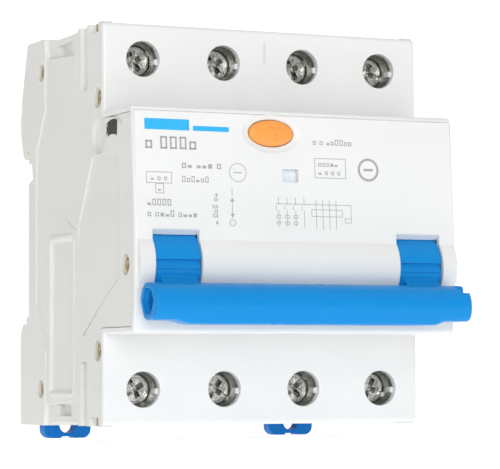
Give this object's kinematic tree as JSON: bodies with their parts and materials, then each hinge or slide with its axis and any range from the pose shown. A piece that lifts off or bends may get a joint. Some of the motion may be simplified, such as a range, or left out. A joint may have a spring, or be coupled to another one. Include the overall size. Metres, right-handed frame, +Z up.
{
  "type": "residual current device",
  "caption": "Rail-mounted residual current device with overcurrent protection: white casing, blue handle bar over two toggles, orange test button, screw terminals and sliding rail clips.",
  "frame": {"origin": "middle of the flat seat that rests on the mounting rail, halfway between the two sides", "axes": "+X to the device's right seen from the front, +Y from the face towards the rail, +Z up"},
  "size_m": [0.072, 0.0766, 0.086],
  "materials": {
    "housing_white": "fine moulded texture",
    "cover_white": "fine moulded texture, slightly glossier than the sides",
    "handle_blue": "smooth moulded, satin",
    "clip_blue": "smooth moulded, satin",
    "button_orange": "smooth moulded, satin",
    "zinc_steel": "zinc plated, turned and stamped",
    "brass": "drawn, slightly dull",
    "copper": "copper, stamped",
    "inner_black": "moulded",
    "board_green": "solder mask",
    "flag_white": "smooth moulded"
  },
  "bodies": {
    "housing": {"rear_housing": "housing_white", "front_cover": "cover_white", "left_side_plate": "housing_white", "right_side_plate": "housing_white", "rivet_rear_top": "brass", "rivet_front_top": "brass", "rivet_front_bottom": "brass", "rivet_rear_bottom": "brass", "handle_axle": "brass", "test_contact": "copper", "trip_relay": "inner_black", "current_transformer": "inner_black", "circuit_board": "board_green", "line_conductor_1": "copper", "load_conductor_1": "copper", "arc_chute_1": "zinc_steel", "magnetic_coil_1": "copper", "bimetal_strip_1": "brass", "line_conductor_2": "copper", "load_conductor_2": "copper", "arc_chute_2": "zinc_steel", "magnetic_coil_2": "copper", "bimetal_strip_2": "brass", "line_conductor_3": "copper", "load_conductor_3": "copper", "arc_chute_3": "zinc_steel", "magnetic_coil_3": "copper", "bimetal_strip_3": "brass", "line_conductor_4": "copper", "load_conductor_4": "copper", "arc_chute_4": "zinc_steel"},
    "handle": {"handle_bar": "handle_blue", "toggle_left": "handle_blue", "toggle_right": "handle_blue"},
    "contacts": {"contact_crossbar": "inner_black", "moving_contact_1": "copper", "moving_contact_2": "copper", "moving_contact_3": "copper", "moving_contact_4": "copper"},
    "test_button": {"test_button": "button_orange"},
    "trip_bar": {"trip_bar": "inner_black"},
    "trip_flag": {"trip_flag": "flag_white"},
    "rail_clip_left": {"rail_clip_left": "clip_blue"},
    "rail_clip_right": {"rail_clip_right": "clip_blue"},
    "terminal_screw_line_1": {"terminal_screw_line_1": "zinc_steel"},
    "terminal_cage_line_1": {"terminal_cage_line_1": "zinc_steel"},
    "terminal_screw_line_2": {"terminal_screw_line_2": "zinc_steel"},
    "terminal_cage_line_2": {"terminal_cage_line_2": "zinc_steel"},
    "terminal_screw_line_3": {"terminal_screw_line_3": "zinc_steel"},
    "terminal_cage_line_3": {"terminal_cage_line_3": "zinc_steel"},
    "terminal_screw_line_4": {"terminal_screw_line_4": "zinc_steel"},
    "terminal_cage_line_4": {"terminal_cage_line_4": "zinc_steel"},
    "terminal_screw_load_1": {"terminal_screw_load_1": "zinc_steel"},
    "terminal_cage_load_1": {"terminal_cage_load_1": "zinc_steel"},
    "terminal_screw_load_2": {"terminal_screw_load_2": "zinc_steel"},
    "terminal_cage_load_2": {"terminal_cage_load_2": "zinc_steel"},
    "terminal_screw_load_3": {"terminal_screw_load_3": "zinc_steel"},
    "terminal_cage_load_3": {"terminal_cage_load_3": "zinc_steel"},
    "terminal_screw_load_4": {"terminal_screw_load_4": "zinc_steel"},
    "terminal_cage_load_4": {"terminal_cage_load_4": "zinc_steel"}
  },
  "joints": [
    {"name": "handle_turn", "type": "hinge", "parent": "housing", "child": "handle", "pos_m": [0, -0.056, -0.0089], "axis": [-1, 0, 0], "range_deg": [0, 74]},
    {"name": "contact_turn", "type": "hinge", "parent": "housing", "child": "contacts", "pos_m": [0, -0.026, 0.016], "axis": [1, 0, 0], "range_deg": [0, 20]},
    {"name": "test_button_press", "type": "slide", "parent": "housing", "child": "test_button", "axis": [0, 1, 0], "range_m": [0, 0.0015], "stiffness_N_per_m": 600, "springref_m": -0.001},
    {"name": "trip_bar_turn", "type": "hinge", "parent": "housing", "child": "trip_bar", "pos_m": [0, -0.046, -0.014], "axis": [1, 0, 0], "range_deg": [0, 12], "stiffness_Nm_per_rad": 0.01, "springref_deg": -5.73},
    {"name": "trip_flag_slide", "type": "slide", "parent": "housing", "child": "trip_flag", "axis": [0, 0, -1], "range_m": [0, 0.003]},
    {"name": "rail_clip_left_slide", "type": "slide", "parent": "housing", "child": "rail_clip_left", "axis": [0, 0, -1], "range_m": [0, 0.004], "stiffness_N_per_m": 800, "springref_m": -0.002},
    {"name": "rail_clip_right_slide", "type": "slide", "parent": "housing", "child": "rail_clip_right", "axis": [0, 0, -1], "range_m": [0, 0.004], "stiffness_N_per_m": 800, "springref_m": -0.002},
    {"name": "terminal_screw_line_1_turn", "type": "hinge", "parent": "housing", "child": "terminal_screw_line_1", "pos_m": [-0.027, -0.0394, 0.0337], "axis": [0, 1, 0], "range_deg": [0, 2880]},
    {"name": "terminal_cage_line_1_slide", "type": "slide", "parent": "housing", "child": "terminal_cage_line_1", "axis": [0, -1, 0], "range_m": [0, 0.0064]},
    {"name": "terminal_screw_line_2_turn", "type": "hinge", "parent": "housing", "child": "terminal_screw_line_2", "pos_m": [-0.009, -0.0394, 0.0337], "axis": [0, 1, 0], "range_deg": [0, 2880]},
    {"name": "terminal_cage_line_2_slide", "type": "slide", "parent": "housing", "child": "terminal_cage_line_2", "axis": [0, -1, 0], "range_m": [0, 0.0064]},
    {"name": "terminal_screw_line_3_turn", "type": "hinge", "parent": "housing", "child": "terminal_screw_line_3", "pos_m": [0.009, -0.0394, 0.0337], "axis": [0, 1, 0], "range_deg": [0, 2880]},
    {"name": "terminal_cage_line_3_slide", "type": "slide", "parent": "housing", "child": "terminal_cage_line_3", "axis": [0, -1, 0], "range_m": [0, 0.0064]},
    {"name": "terminal_screw_line_4_turn", "type": "hinge", "parent": "housing", "child": "terminal_screw_line_4", "pos_m": [0.027, -0.0394, 0.0337], "axis": [0, 1, 0], "range_deg": [0, 2880]},
    {"name": "terminal_cage_line_4_slide", "type": "slide", "parent": "housing", "child": "terminal_cage_line_4", "axis": [0, -1, 0], "range_m": [0, 0.0064]},
    {"name": "terminal_screw_load_1_turn", "type": "hinge", "parent": "housing", "child": "terminal_screw_load_1", "pos_m": [-0.027, -0.0394, -0.0337], "axis": [0, 1, 0], "range_deg": [0, 2880]},
    {"name": "terminal_cage_load_1_slide", "type": "slide", "parent": "housing", "child": "terminal_cage_load_1", "axis": [0, -1, 0], "range_m": [0, 0.0064]},
    {"name": "terminal_screw_load_2_turn", "type": "hinge", "parent": "housing", "child": "terminal_screw_load_2", "pos_m": [-0.009, -0.0394, -0.0337], "axis": [0, 1, 0], "range_deg": [0, 2880]},
    {"name": "terminal_cage_load_2_slide", "type": "slide", "parent": "housing", "child": "terminal_cage_load_2", "axis": [0, -1, 0], "range_m": [0, 0.0064]},
    {"name": "terminal_screw_load_3_turn", "type": "hinge", "parent": "housing", "child": "terminal_screw_load_3", "pos_m": [0.009, -0.0394, -0.0337], "axis": [0, 1, 0], "range_deg": [0, 2880]},
    {"name": "terminal_cage_load_3_slide", "type": "slide", "parent": "housing", "child": "terminal_cage_load_3", "axis": [0, -1, 0], "range_m": [0, 0.0064]},
    {"name": "terminal_screw_load_4_turn", "type": "hinge", "parent": "housing", "child": "terminal_screw_load_4", "pos_m": [0.027, -0.0394, -0.0337], "axis": [0, 1, 0], "range_deg": [0, 2880]},
    {"name": "terminal_cage_load_4_slide", "type": "slide", "parent": "housing", "child": "terminal_cage_load_4", "axis": [0, -1, 0], "range_m": [0, 0.0064]}
  ],
  "couplings": [
    {"joint": "contact_turn", "follows": "handle_turn", "ratio": 0.27},
    {"joint": "trip_bar_turn", "follows": "trip_flag_slide", "rad_per_m": 69.8},
    {"joint": "terminal_screw_line_1_turn", "follows": "terminal_cage_line_1_slide", "rad_per_m": 7853.9},
    {"joint": "terminal_screw_line_2_turn", "follows": "terminal_cage_line_2_slide", "rad_per_m": 7853.9},
    {"joint": "terminal_screw_line_3_turn", "follows": "terminal_cage_line_3_slide", "rad_per_m": 7853.9},
    {"joint": "terminal_screw_line_4_turn", "follows": "terminal_cage_line_4_slide", "rad_per_m": 7853.9},
    {"joint": "terminal_screw_load_1_turn", "follows": "terminal_cage_load_1_slide", "rad_per_m": 7853.9},
    {"joint": "terminal_screw_load_2_turn", "follows": "terminal_cage_load_2_slide", "rad_per_m": 7853.9},
    {"joint": "terminal_screw_load_3_turn", "follows": "terminal_cage_load_3_slide", "rad_per_m": 7853.9},
    {"joint": "terminal_screw_load_4_turn", "follows": "terminal_cage_load_4_slide", "rad_per_m": 7853.9}
  ]
}
